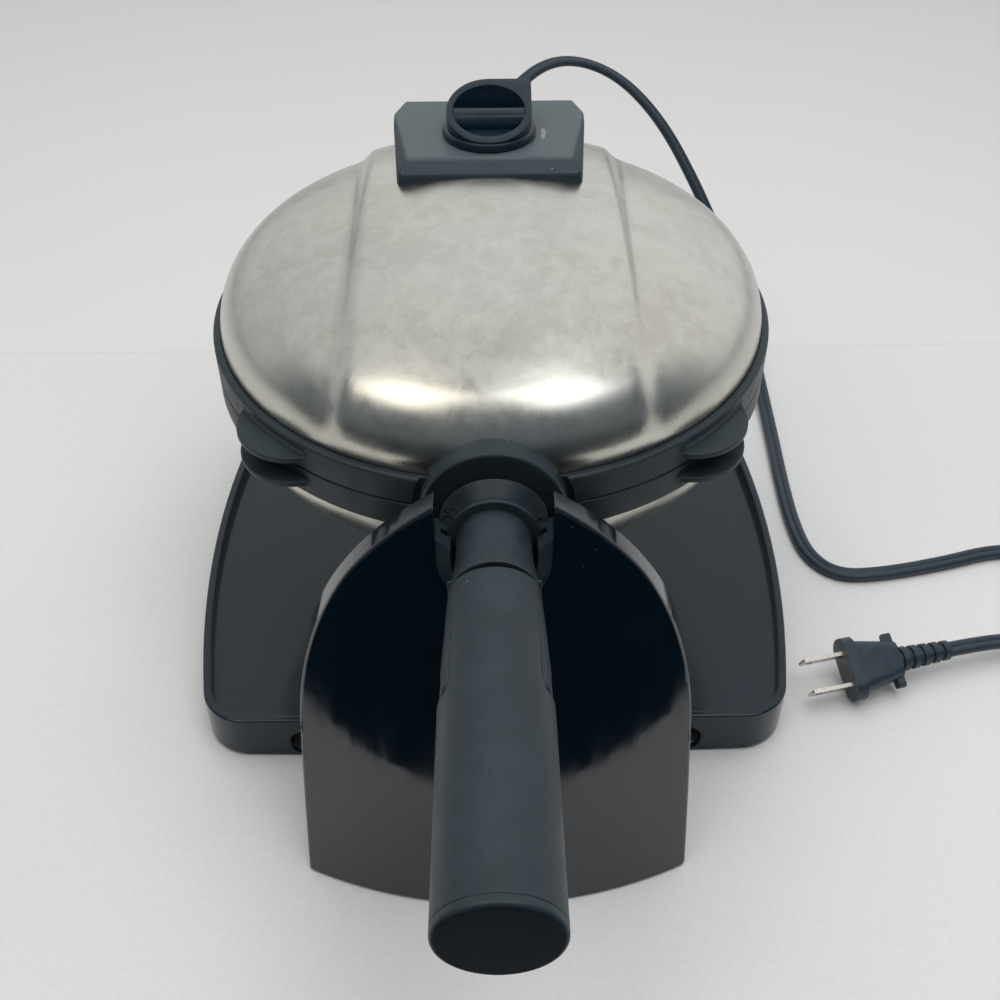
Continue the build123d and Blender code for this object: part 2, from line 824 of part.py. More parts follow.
def pedestal_form(inset, rear_y):
    """Outside of the pedestal drawn in by inset, down to the table, before the slot is cut."""
    slot_x, top_z, middle = arch_sketch_points(inset)
    foot = foot_half_width - inset
    waist = waist_half_width - inset
    with BuildPart() as form:
        with BuildSketch(base_side):
            with BuildLine():
                Line((pedestal_axis_y, 0), (pedestal_axis_y - pedestal_foot_r + inset, 0))
                ThreePointArc(
                    (pedestal_axis_y - pedestal_foot_r + inset, 0),
                    (pedestal_axis_y - pedestal_middle_r + inset, pedestal_middle_z),
                    (pedestal_axis_y - crease_r + inset, crease_z),
                )
                Line(
                    (pedestal_axis_y - crease_r + inset, crease_z),
                    (pedestal_axis_y - pedestal_top_r + inset, pedestal_top_z),
                )
                Line((pedestal_axis_y - pedestal_top_r + inset, pedestal_top_z), (pedestal_axis_y, pedestal_top_z))
                Line((pedestal_axis_y, pedestal_top_z), (pedestal_axis_y, 0))
            make_face()
        revolve(axis=Axis((0, head_y + pedestal_axis_y, 0), (0, 0, 1)))
        with BuildSketch(cross(rear_y)):
            with BuildLine():
                Line((-slot_x, top_z), (slot_x, top_z))
                for side in (-1, 1):
                    ThreePointArc(
                        (side * slot_x, top_z),
                        (side * middle[0], middle[1]),
                        (side * waist, arch_centre_z),
                    )
                    Line((side * waist, arch_centre_z), (side * foot, 0))
                Line((-foot, 0), (foot, 0))
            make_face()
        extrude(amount=rear_y - pedestal_axis_y + pedestal_foot_r + 5, mode=Mode.INTERSECT)
    return form.part


def slot_form(half_width):
    """Upright slot with a round bottom about the flip axis."""
    with BuildPart() as form:
        with BuildSketch(cross(pedestal_rear_y + 5, axis_z)):
            Circle(half_width)
            with Locations((0, half_width)):
                Rectangle(2 * half_width, 2 * half_width)
        extrude(amount=pedestal_foot_r)
    return form.part


pedestal_outside = pedestal_form(0, pedestal_rear_y)
pedestal_inside = pedestal_form(pedestal_wall, pedestal_rear_y)
slot = slot_form(slot_half_width)
slot_lining = slot_form(slot_half_width + slot_wall)

with BuildPart() as pedestal_cavity:
    add(pedestal_inside)
    add(slot_lining, mode=Mode.SUBTRACT)

with BuildPart() as pedestal_bosses:
    with BuildSketch(floor_level(frame_top_z)):
        with Locations((-boss_x, boss_y), (boss_x, boss_y)):
            Circle(boss_r)
    extrude(amount=crease_z - frame_top_z)
    with BuildSketch(cross(pedestal_rear_y - pedestal_wall)):
        with Locations(*[(side * back_screw_x, z) for side in (-1, 1) for z in back_screw_z]):
            Circle(boss_r)
    extrude(amount=pedestal_foot_r)
    add(pedestal_outside, mode=Mode.INTERSECT)

with BuildPart() as pedestal_shell:
    add(pedestal_outside)
    add(pedestal_cavity.part, mode=Mode.SUBTRACT)
    add(pedestal_bosses.part)
    add(slot, mode=Mode.SUBTRACT)
    with BuildSketch(floor_level(0)):
        Rectangle(4 * pedestal_foot_r, 4 * pedestal_foot_r)
    extrude(amount=pedestal_bottom_z, mode=Mode.SUBTRACT)
    with BuildSketch(floor_level(frame_top_z)):
        with Locations((-boss_x, boss_y), (boss_x, boss_y)):
            Circle(screw_r)
    extrude(amount=boss_screw_depth, mode=Mode.SUBTRACT)
    with BuildSketch(cross(pedestal_rear_y)):
        with Locations(*[(side * back_screw_x, z) for side in (-1, 1) for z in back_screw_z]):
            Circle(screw_r)
    extrude(amount=pedestal_wall + boss_screw_depth, mode=Mode.SUBTRACT)
finish(pedestal_shell, "pedestal_shell")

back_form = pedestal_form(pedestal_wall + seat_clearance, pedestal_rear_y)
back_slot = slot_form(slot_half_width + slot_wall + seat_clearance)

with BuildPart() as pedestal_back:
    add(back_form)
    with BuildSketch(cross(pedestal_rear_y)):
        Rectangle(4 * foot_half_width, 4 * pedestal_top_z)
    extrude(amount=pedestal_wall, mode=Mode.INTERSECT)
    with BuildSketch(floor_level(0)):
        Rectangle(4 * pedestal_foot_r, 4 * pedestal_foot_r)
    extrude(amount=frame_top_z, mode=Mode.SUBTRACT)
    add(back_slot, mode=Mode.SUBTRACT)
    with BuildSketch(cross(pedestal_rear_y)):
        with Locations(*[(side * back_screw_x, z) for side in (-1, 1) for z in back_screw_z]):
            Circle(screw_r + screw_clearance)
    extrude(amount=pedestal_wall, mode=Mode.SUBTRACT)
finish(pedestal_back, "pedestal_back")

# Bearing cradle: a half-round liner in the slot with a groove for the thrust flange
cradle_limit = pedestal_form(cradle_recess, pedestal_rear_y - cradle_inset)
cradle_r = slot_half_width - cradle_clearance
bore_r = neck_r + cradle_bore_clearance

with BuildPart() as bearing_cradle:
    with BuildSketch(cross(pedestal_rear_y - cradle_inset, axis_z)):
        Circle(cradle_r)
        with Locations((0, cradle_outer_top / 2)):
            Rectangle(2 * cradle_r, cradle_outer_top)
        with BuildLine():
            Polyline(
                (-cradle_r, cradle_outer_top),
                (-bore_r + 1.5, cradle_inner_top),
                (bore_r - 1.5, cradle_inner_top),
                (cradle_r, cradle_outer_top),
                (cradle_r, 2 * cradle_r),
                (-cradle_r, 2 * cradle_r),
                close=True,
            )
        make_face(mode=Mode.SUBTRACT)
        Circle(bore_r, mode=Mode.SUBTRACT)
    extrude(amount=cradle_length)
    add(cradle_limit, mode=Mode.INTERSECT)
    with BuildSketch(cross(thrust_front_y + thrust_thickness + 0.2, axis_z)):
        Circle(thrust_r + 0.3)
    extrude(amount=thrust_thickness + 0.4, mode=Mode.SUBTRACT)
finish(bearing_cradle, "bearing_cradle")

# Base frame: a ribbed tongue, open below, that runs from the pedestal to under the tray's rear
foot_places = [(side * foot_x, y) for side in (-1, 1) for y in (foot_front_y, foot_rear_y)]

with BuildPart() as base_frame:
    with BuildSketch(floor_level(frame_bottom_z)) as frame_outline:
        with Locations((0, (frame_front_y + frame_rear_y) / 2)):
            Rectangle(2 * frame_half_width, frame_rear_y - frame_front_y)
        fillet(frame_outline.vertices(), frame_corner_r)
    extrude(amount=frame_top_z - frame_bottom_z)
    with BuildSketch(floor_level(frame_bottom_z)) as frame_hollow:
        with Locations((0, (frame_front_y + frame_rear_y) / 2)):
            Rectangle(
                2 * (frame_half_width - frame_wall),
                frame_rear_y - frame_front_y - 2 * frame_wall,
            )
        fillet(frame_hollow.vertices(), frame_corner_r - frame_wall)
        with Locations(*foot_places, (-boss_x, boss_y), (boss_x, boss_y)):
            Circle(foot_r, mode=Mode.SUBTRACT)
        for x in (-frame_half_width / 3, frame_half_width / 3):
            with Locations((x, (frame_front_y + frame_rear_y) / 2)):
                Rectangle(frame_wall, frame_rear_y - frame_front_y, mode=Mode.SUBTRACT)
        for y in (frame_front_y + frame_wall + 42, 0):
            with Locations((0, y)):
                Rectangle(2 * frame_half_width, frame_wall, mode=Mode.SUBTRACT)
    extrude(amount=frame_top_z - frame_bottom_z - frame_wall, mode=Mode.SUBTRACT)
    with BuildSketch(floor_level(frame_bottom_z)):
        with Locations(*foot_places):
            Circle(foot_spigot_r)
    extrude(amount=5, mode=Mode.SUBTRACT)
    with BuildSketch(floor_level(frame_top_z)):
        with Locations((-boss_x, boss_y), (boss_x, boss_y)):
            Circle(screw_r + screw_clearance)
    extrude(amount=-(frame_top_z - frame_bottom_z), mode=Mode.SUBTRACT)
    with BuildSketch(floor_level(frame_bottom_z)):
        with Locations((-boss_x, boss_y), (boss_x, boss_y)):
            Circle(screw_head_r + 2 * screw_clearance)
    extrude(amount=boss_screw_seat, mode=Mode.SUBTRACT)
finish(base_frame, "base_frame")

with BuildPart() as base_feet:
    with BuildSketch(floor_level(0)):
        with Locations(*foot_places):
            Circle(foot_r - 1)
    extrude(amount=frame_bottom_z)
    with BuildSketch(floor_level(frame_bottom_z)):
        with Locations(*foot_places):
            Circle(foot_spigot_r)
    extrude(amount=5)
finish(base_feet, "base_feet")

# Screws of the pedestal: two upward through the frame and four through the back cover
with BuildPart() as pedestal_screws:
    with BuildSketch(cross(pedestal_rear_y)):
        with Locations(*[(side * back_screw_x, z) for side in (-1, 1) for z in back_screw_z]):
            Circle(screw_head_r)
    extrude(amount=-screw_head_height)
    with BuildSketch(cross(pedestal_rear_y)):
        with Locations(*[(side * back_screw_x, z) for side in (-1, 1) for z in back_screw_z]):
            Circle(screw_r)
    extrude(amount=pedestal_wall + boss_screw_depth - 2)
    with BuildSketch(floor_level(frame_bottom_z + boss_screw_seat)):
        with Locations((-boss_x, boss_y), (boss_x, boss_y)):
            Circle(screw_head_r)
    extrude(amount=-screw_head_height)
    with BuildSketch(floor_level(frame_bottom_z + boss_screw_seat)):
        with Locations((-boss_x, boss_y), (boss_x, boss_y)):
            Circle(screw_r)
    extrude(amount=frame_top_z - frame_bottom_z - boss_screw_seat + boss_screw_depth - 2)
finish(pedestal_screws, "pedestal_screws")


# Drip tray: pulled off to the rear, with a notch at its front that straddles the frame
def tray_outline(inset):
    """Plan of the tray drawn in by inset, with bowed sides."""
    side_sag = tray_side_r - sqrt(tray_side_r ** 2 - tray_half_depth ** 2)
    depth = tray_half_depth - inset
    middle = tray_half_width - inset
    corner = tray_half_width - side_sag - inset
    with BuildSketch() as outline:
        with BuildLine():
            Line((-corner, -depth), (corner, -depth))
            ThreePointArc((corner, -depth), (middle, 0), (corner, depth))
            Line((corner, depth), (-corner, depth))
            ThreePointArc((-corner, depth), (-middle, 0), (-corner, -depth))
        make_face()
        fillet(outline.vertices(), tray_corner_r - inset)
    return outline.sketch


tray_floor_z = tray_top_z - tray_recess
tray_outside = tray_outline(0)
tray_inside = tray_outline(tray_lip)
tray_hollow = tray_outline(tray_wall)

with BuildPart() as drip_tray:
    with BuildSketch(floor_level(tray_bottom_z)):
        add(tray_outside)
    extrude(amount=tray_top_z - tray_bottom_z)
    with BuildSketch(floor_level(tray_top_z)):
        add(tray_inside)
    extrude(amount=-tray_recess, mode=Mode.SUBTRACT)
    with BuildSketch(floor_level(tray_bottom_z)):
        add(tray_hollow)
    extrude(amount=tray_floor_z - tray_floor - tray_bottom_z, mode=Mode.SUBTRACT)
    with BuildSketch(cross(-tray_half_depth + 2 * tray_wall, tray_bottom_z)) as notch:
        with Locations((0, (tray_floor_z - tray_floor - tray_bottom_z) / 2)):
            Rectangle(2 * tray_notch_half, tray_floor_z - tray_floor - tray_bottom_z)
        fillet(notch.vertices().group_by(Axis.Z)[-1], tray_notch_r)
    extrude(amount=4 * tray_wall, mode=Mode.SUBTRACT)
finish(drip_tray, "drip_tray")

# Strain relief: a tapered, ribbed sleeve on the flip axis, with a spigot in the gland
relief_end_y = hinge_reach + relief_length

with BuildPart() as strain_relief:
    with BuildSketch(head_side):
        with BuildLine():
            Polyline(
                (hinge_reach - gland_depth, 0),
                (hinge_reach - gland_depth, gland_r),
                (hinge_reach, gland_r),
                (hinge_reach, relief_r + 1.5),
                (hinge_reach + 2, relief_r + 1.5),
                (hinge_reach + 2, relief_r),
                (relief_end_y, relief_end_r),
                (relief_end_y, 0),
                close=True,
            )
        make_face()
        for i in range(relief_ribs):
            share = (i + 1) / (relief_ribs + 1)
            y = hinge_reach + 2 + share * (relief_length - 2)
            r = relief_r + share * (relief_end_r - relief_r)
            with Locations((y, (r + relief_rib) / 2)):
                Rectangle(1.6, r + relief_rib)
    revolve(axis=flip_axis)
finish(strain_relief, "strain_relief")

# Plug: flange, tapering body with finger wings, ribbed relief, and two flat blades
plug_forward = Vector(-cos(radians(plug_turn)), -sin(radians(plug_turn)), 0)
plug_side = Vector(sin(radians(plug_turn)), -cos(radians(plug_turn)), 0)
roll = radians(plug_roll)
plug_z = plug_flange_width / 2 * sin(roll) + plug_flange_height / 2 * cos(roll) + 0.05
plug_plane = Plane(
    origin=(plug_face[0], plug_face[1], plug_z),
    x_dir=plug_side * cos(roll) + Vector(0, 0, -sin(roll)),
    z_dir=plug_forward,
)
plug_length = plug_flange_thickness + plug_body_length + plug_relief_length

with BuildPart() as plug_body:
    with BuildSketch(plug_plane):
        RectangleRounded(plug_flange_width, plug_flange_height, plug_flange_height * 0.45)
    extrude(amount=-plug_flange_thickness)
    with BuildSketch(plug_plane.offset(-plug_flange_thickness)):
        RectangleRounded(plug_flange_width - 4, plug_flange_height - 1.5, 4)
    with BuildSketch(plug_plane.offset(-plug_flange_thickness - plug_body_length)):
        RectangleRounded(plug_rear_width, plug_rear_height, 4)
    loft()
    with BuildSketch(plug_plane.offset(-plug_flange_thickness - plug_body_length + 3)):
        RectangleRounded(plug_flange_width - 3, 4.5, 1.5)
    extrude(amount=-3)
    for i in range(plug_ribs):
        step = plug_relief_length / plug_ribs
        start = plug_flange_thickness + plug_body_length + i * step
        rib_r = plug_relief_r - i * 0.25
        with BuildSketch(plug_plane.offset(-start)):
            Circle(rib_r - 1)
        extrude(amount=-step)
        with BuildSketch(plug_plane.offset(-start - step * 0.35)):
            Circle(rib_r)
        extrude(amount=-step * 0.5)
    with BuildSketch(plug_plane):
        with Locations((-blade_spacing / 2, 0), (blade_spacing / 2, 0)):
            Rectangle(blade_thickness, blade_width)
    extrude(amount=-5, mode=Mode.SUBTRACT)
finish(plug_body, "plug_body")

with BuildPart() as plug_blades:
    with BuildSketch(plug_plane.offset(-5)):
        with Locations((-blade_spacing / 2, 0), (blade_spacing / 2, 0)):
            Rectangle(blade_thickness, blade_width)
    extrude(amount=blade_length + 5)
    chamfer(plug_blades.faces().filter_by(plug_plane).sort_by(Axis.X)[:2].edges(), 0.5)
    with BuildSketch(Plane(
        origin=plug_plane.from_local_coords((0, 0, blade_length - 3.5)),
        x_dir=plug_plane.z_dir,
        z_dir=plug_plane.x_dir,
    )):
        Circle(1.6)
    extrude(amount=blade_spacing, both=True, mode=Mode.SUBTRACT)
finish(plug_blades, "plug_blades")

# Mains lead: from the strain relief over the rear corner, down to the table and round to the plug
plug_rear = plug_plane.from_local_coords((0, 0, -plug_length))
plug_run = 21
cord_rest_z = cord_r + 0.1
cord_points = [
    (0, head_y + relief_end_y, axis_z),
    (0, head_y + 167, axis_z),
    (9, head_y + 191, 136),
    (32, head_y + 209, 147),
    (61, head_y + 213, 139),
    (86, head_y + 205, 118),
    (107, head_y + 190, 86),
    (125, head_y + 170, 51),
    (136, head_y + 148, 20),
    (140, head_y + 120, 4),
    (139.5, head_y + 88, cord_rest_z),
    (138, head_y + 52, cord_rest_z),
    (138, head_y + 24, cord_rest_z),
    (141, head_y + 3, cord_rest_z),
    (152, head_y - 9, cord_rest_z),
    (172, head_y - 8, cord_rest_z),
    (200, head_y - 2, cord_rest_z),
    (226, head_y + 6, cord_rest_z),
    (250, head_y + 4, cord_rest_z),
    (262, head_y - 17, cord_rest_z),
    (250, head_y - 38, cord_rest_z),
    (228, head_y - 50, 5),
    tuple(plug_rear - plug_forward * plug_run),
    tuple(plug_rear),
]


def cord_radii(points):
    """Radius of each bend: as large as the two runs beside it allow."""
    radii = []
    for before, at, after in zip(points, points[1:], points[2:]):
        first = Vector(*at) - Vector(*before)
        second = Vector(*after) - Vector(*at)
        turn = first.get_angle(second)
        radii.append(0.45 * min(first.length, second.length) / tan(radians(turn / 2)))
    return radii


bend_radii = cord_radii(cord_points)
print("cord bend radii:", [round(r, 1) for r in bend_radii])

with BuildPart() as mains_cord:
    with BuildLine() as cord_path:
        FilletPolyline(*cord_points, radius=bend_radii)
    with BuildSketch(Plane(origin=cord_points[0], x_dir=(1, 0, 0), z_dir=(0, 1, 0))):
        Circle(cord_r)
    sweep()
finish(mains_cord, "mains_cord")
cord_length = cord_path.wires()[0].length
print("cord length:", round(cord_length, 1))
print("cord volume over section times length:", round(mains_cord.part.volume / (pi * cord_r ** 2 * cord_length), 4))
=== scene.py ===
import bmesh
import bpy
from math import atan2, copysign, cos, degrees, hypot, pi, radians, sin, sqrt
from mathutils import Matrix, Vector


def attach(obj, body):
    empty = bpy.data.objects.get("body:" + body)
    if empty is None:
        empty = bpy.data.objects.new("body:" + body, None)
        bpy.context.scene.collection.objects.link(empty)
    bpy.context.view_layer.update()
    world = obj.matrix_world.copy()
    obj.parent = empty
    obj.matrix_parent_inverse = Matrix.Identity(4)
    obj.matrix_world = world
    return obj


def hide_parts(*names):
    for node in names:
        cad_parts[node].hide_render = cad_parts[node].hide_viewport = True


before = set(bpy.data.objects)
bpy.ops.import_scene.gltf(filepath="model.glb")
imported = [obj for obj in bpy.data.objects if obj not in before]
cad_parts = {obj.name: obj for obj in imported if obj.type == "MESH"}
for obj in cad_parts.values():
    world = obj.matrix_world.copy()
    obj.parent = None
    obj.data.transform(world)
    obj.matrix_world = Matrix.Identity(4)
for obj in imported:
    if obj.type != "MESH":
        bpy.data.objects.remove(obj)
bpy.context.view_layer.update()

# Table: a plain pale top with a fine mottle. A faint painted dark line across it behind the machine stands
# for the shade where a backdrop would meet the top, and beyond that line the top is painted a little
# lighter, as painted light that makes up for the lamps' fall-off.
# It ends just in front of the grip, so that the pedestal's face reflects the dark room below.
MM = 0.001
table_half_width = 2400 * MM
table_half_depth = 1200 * MM
table_front_y = -212 * MM
table_line_y = 236 * MM


class Term:
    """An output socket that Python's operators join with Math nodes."""

    def __init__(self, graph, socket):
        self.graph = graph
        self.socket = socket

    def join(self, operation, first, second=None):
        inputs = {0: first} if second is None else {0: first, 1: second}
        return self.graph.node("ShaderNodeMath", {"operation": operation}, inputs)

    def __add__(self, other):
        return self.join("ADD", self, other)

    def __radd__(self, other):
        return self.join("ADD", other, self)

    def __sub__(self, other):
        return self.join("SUBTRACT", self, other)

    def __rsub__(self, other):
        return self.join("SUBTRACT", other, self)

    def __mul__(self, other):
        return self.join("MULTIPLY", self, other)

    def __rmul__(self, other):
        return self.join("MULTIPLY", other, self)

    def __pow__(self, other):
        return self.join("POWER", self, other)

    def __abs__(self):
        return self.join("ABSOLUTE", self)


class Graph:
    """A node tree with one method that adds a node, and a few named uses of it."""

    def __init__(self, tree):
        self.tree = tree

    def node(self, kind, settings=None, inputs=None, output=0):
        made = self.tree.nodes.new(kind)
        for key, value in (settings or {}).items():
            setattr(made, key, value)
        for key, value in (inputs or {}).items():
            if isinstance(value, Term):
                self.tree.links.new(value.socket, made.inputs[key])
            elif isinstance(value, tuple) and made.inputs[key].type == "RGBA":
                made.inputs[key].default_value = (*value, 1)
            else:
                made.inputs[key].default_value = value
        return Term(self, made.outputs[output])

    def place(self, scale=(1, 1, 1), turn=(0, 0, 0)):
        """The piece's own coordinates in metres, stretched and turned."""
        spot = self.node("ShaderNodeTexCoord", output=3)
        return self.node("ShaderNodeMapping", {}, {"Vector": spot, "Scale": scale, "Rotation": turn})

    def axes(self, vector):
        split = self.node("ShaderNodeSeparateXYZ", {}, {0: vector})
        return [Term(self, socket) for socket in split.socket.node.outputs]

    def noise(self, vector, scale, detail=4, roughness=0.5, distortion=0.0):
        inputs = {"Vector": vector, "Scale": scale, "Detail": detail, "Roughness": roughness}
        return self.node("ShaderNodeTexNoise", {}, {**inputs, "Distortion": distortion})

    def between(self, value, low, high, to_low=0.0, to_high=1.0):
        """Map a value smoothly from one range to another."""
        return self.node(
            "ShaderNodeMapRange",
            {"interpolation_type": "SMOOTHSTEP"},
            {"Value": value, "From Min": low, "From Max": high, "To Min": to_low, "To Max": to_high},
        )

    def mix(self, amount, first, second):
        return self.node("ShaderNodeMix", {"data_type": "RGBA"}, {0: amount, 6: first, 7: second}, 2)


class Finish(Graph):
    """A Principled material whose constant inputs are given when it is made."""

    def __init__(self, name, **inputs):
        self.material = bpy.data.materials.new(name)
        self.material.use_nodes = True
        super().__init__(self.material.node_tree)
        self.shader = self.tree.nodes["Principled BSDF"]
        for key, value in inputs.items():
            self.shader.inputs[key.replace("_", " ")].default_value = value

    def drive(self, name, term):
        self.tree.links.new(term.socket, self.shader.inputs[name])

    def bump(self, height, strength, distance):
        inputs = {"Height": height, "Strength": strength, "Distance": distance}
        self.drive("Normal", self.node("ShaderNodeBump", {}, inputs))

    def give(self, *pieces):
        """Put the finish on new pieces, or on CAD nodes by name."""
        for piece in pieces:
            mesh = (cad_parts[piece] if isinstance(piece, str) else piece).data
            mesh.materials.clear()
            mesh.materials.append(self.material)


def new_piece(name, bm, smooth=40):
    """An object at the origin from a bmesh, with soft shading up to an angle."""
    mesh = bpy.data.meshes.new(name)
    bm.to_mesh(mesh)
    bm.free()
    piece = bpy.data.objects.new(name, mesh)
    bpy.context.scene.collection.objects.link(piece)
    mesh.shade_smooth()
    mesh.set_sharp_from_angle(angle=radians(smooth))
    return piece


bm = bmesh.new()
bmesh.ops.create_grid(bm, x_segments=1, y_segments=1, size=1)
bmesh.ops.scale(bm, vec=(table_half_width, table_half_depth, 1), verts=bm.verts)
bmesh.ops.translate(bm, vec=(0, table_front_y + table_half_depth, 0), verts=bm.verts)
table = new_piece("table_top", bm)
pale = Finish("table_pale", Roughness=0.75, Specular_IOR_Level=0.15)
table_y = pale.axes(pale.place())[1]
fine_grain = pale.noise(pale.place(), 420, 5, 0.65)
broad_grain = pale.noise(pale.place(), 7, 3)
grain = pale.between(fine_grain * 0.6 + broad_grain * 0.4, 0.3, 0.7)
near = pale.mix(grain, (0.715, 0.716, 0.72), (0.765, 0.765, 0.768))
# Painted light: beyond the line the top is a little lighter, to make up for the lamps' fall-off, as a lit
# backdrop would look.
far_painted_lighter = pale.mix(grain, (0.745, 0.747, 0.748), (0.76, 0.761, 0.762))
# Painted shade: a thin dark line where a backdrop would meet the top.
painted_corner_shade = pale.between(abs(table_y - table_line_y), 0.2 * MM, 1.6 * MM, 0.12, 0)
far_side = pale.between(table_y, table_line_y - 0.6 * MM, table_line_y + 0.6 * MM)
pale.drive("Base Color", pale.mix(painted_corner_shade, pale.mix(far_side, near, far_painted_lighter), (0.4, 0.4, 0.4)))
pale.give(table)

# Camera where the photograph was taken: in front of the grip and about 40 cm above the table,
# turned by about half a degree to the right and tilted down by 42 degrees.
HEAD_Y = 66 * MM
sensor_width = 36
focal_pixels = 1240.3
picture_pixels = 1000
camera_place = (-0.6 * MM, HEAD_Y - 390.8 * MM, 394.5 * MM)
turned_right = radians(0.518)
tilted_down = radians(42.08)
rolled = radians(0.294)
camera = bpy.data.objects.new("camera", bpy.data.cameras.new("camera"))
bpy.context.scene.collection.objects.link(camera)
camera.data.lens = sensor_width * focal_pixels / picture_pixels
camera.data.sensor_width = sensor_width
camera.data.clip_start = 0.01
camera.location = camera_place
camera_turn = Matrix.Rotation(-turned_right, 3, "Z")
camera_tilt = Matrix.Rotation(pi / 2 - tilted_down, 3, "X")
camera_roll = Matrix.Rotation(-rolled, 3, "Z")
camera.rotation_euler = (camera_turn @ camera_tilt @ camera_roll).to_euler()
bpy.context.scene.camera = camera

# Light: two soft panels in front and above, an overhead one that only fills, and a pale room
# that is bright behind the machine, dim in front of it and dark below the table.
panel_z = 1250 * MM
panel_aim = (0, 0, 100 * MM)


def panel(name, place, target, width, height, power, colour=(1, 1, 1)):
    lamp = bpy.data.objects.new(name, bpy.data.lights.new(name, "AREA"))
    bpy.context.scene.collection.objects.link(lamp)
    lamp.data.shape = "RECTANGLE"
    lamp.data.size = width
    lamp.data.size_y = height
    lamp.data.energy = power
    lamp.data.color = colour
    lamp.location = place
    lamp.rotation_euler = (Vector(target) - Vector(place)).to_track_quat("-Z", "Y").to_euler()
    return lamp


panel("panel_left", (-0.56, -0.44, panel_z), panel_aim, 0.6, 0.72, 3.6, (1, 0.93, 0.82))
panel("panel_right", (0.4, -0.4, panel_z), panel_aim, 0.56, 0.75, 3.3)
fill = panel("fill", (0.1, 0.15, 1.4), (0, 0.05, 0), 1.6, 1.2, 9, (1, 0.995, 0.985))
fill.visible_glossy = False

world = bpy.data.worlds.new("room")
bpy.context.scene.world = world
world.use_nodes = True
room = Graph(world.node_tree)
room_x, room_y, room_z = room.axes(room.node("ShaderNodeTexCoord", output=0))
behind = room.mix(room.between(room_x, -0.75, -0.1), (0.5, 0.51, 0.51), (0.74, 0.74, 0.73))
above = room.mix(room.between(room_y, -0.17, 0.24), (0.11, 0.13, 0.15), behind)
around = room.mix(room.between(room_z, -0.06, 0.02), (0.012, 0.02, 0.028), above)
seen_directly = room.node("ShaderNodeLightPath", output=0)
room_colour = room.mix(seen_directly, around, (0.665, 0.667, 0.668))
background = world.node_tree.nodes["Background"]
world.node_tree.links.new(room_colour.socket, background.inputs["Color"])
bpy.context.scene.view_settings.view_transform = "Standard"

# Lead: flat two-wire cord, two round cores side by side in one black vinyl skin, and a moulded
# plug with nickel blades. It leaves the head on the flip axis, hangs to the table beside the tray
# and lies round to its plug.
cord_width = 6.8 * MM
cord_core_r = 1.9 * MM
cord_core_x = cord_width / 2 - cord_core_r
plug_turn = radians(13)
plug_roll = radians(27)
plug_flange_width = 25.5 * MM
plug_flange_height = 13 * MM
plug_length = 45 * MM
plug_lead_in = 21 * MM
table_gap = 0.05 * MM
plug_z = plug_flange_width / 2 * sin(plug_roll) + plug_flange_height / 2 * cos(plug_roll) + table_gap
plug_face = Vector((140 * MM, HEAD_Y - 70.5 * MM, plug_z))
plug_forward = Vector((-cos(plug_turn), -sin(plug_turn), 0))
plug_rear = plug_face - plug_forward * plug_length
cord_route = [
    (0, 208, 129),
    (0, 233, 129),
    (9, 257, 136),
    (32, 275, 147),
    (61, 279, 139),
    (86, 271, 118),
    (107, 256, 86),
    (125, 236, 51),
    (136, 214, 20),
    (140, 186, 4),
    (139.5, 154, 2.6),
    (138, 118, 2.6),
    (138, 90, 2.6),
    (141, 69, 2.6),
    (152, 57, 2.6),
    (172, 58, 2.6),
    (200, 64, 2.6),
    (226, 72, 2.6),
    (250, 70, 2.6),
    (262, 49, 2.6),
    (250, 28, 2.6),
    (228, 16, 5),
]
cord_points = [Vector(p) * MM for p in cord_route] + [plug_rear - plug_forward * plug_lead_in, plug_rear]


def smooth_line(name, points):
    """Points along an order 3 NURBS line whose control points are given."""
    curve = bpy.data.curves.new(name, "CURVE")
    curve.dimensions = "3D"
    curve.resolution_u = 10
    spline = curve.splines.new("NURBS")
    spline.points.add(len(points) - 1)
    for knot, point in zip(spline.points, points):
        knot.co = (*point, 1)
    spline.order_u = 3
    spline.use_endpoint_u = True
    carrier = bpy.data.objects.new(name, curve)
    line = bpy.data.meshes.new_from_object(carrier)
    found = [v.co.copy() for v in line.vertices]
    bpy.data.meshes.remove(line)
    bpy.data.objects.remove(carrier)
    bpy.data.curves.remove(curve)
    return found


def flat_frame(at, ahead):
    """Matrix that stands a flat section square to the line, its wide side level."""
    wide = ahead.cross(Vector((0, 0, 1))).normalized()
    thick = wide.cross(ahead).normalized()
    turned = Matrix((wide, thick, ahead.normalized())).transposed().to_4x4()
    return Matrix.Translation(at) @ turned


def verts_of(geom):
    return [g for g in geom if isinstance(g, bmesh.types.BMVert)]


def edges_of(geom):
    return [g for g in geom if isinstance(g, bmesh.types.BMEdge)]


def closed_ring(bm, points):
    """New vertices through some points, and the edges that close them to a ring."""
    ring = [bm.verts.new(p) for p in points]
    return ring, [bm.edges.new((ring[i - 1], ring[i])) for i in range(len(ring))]


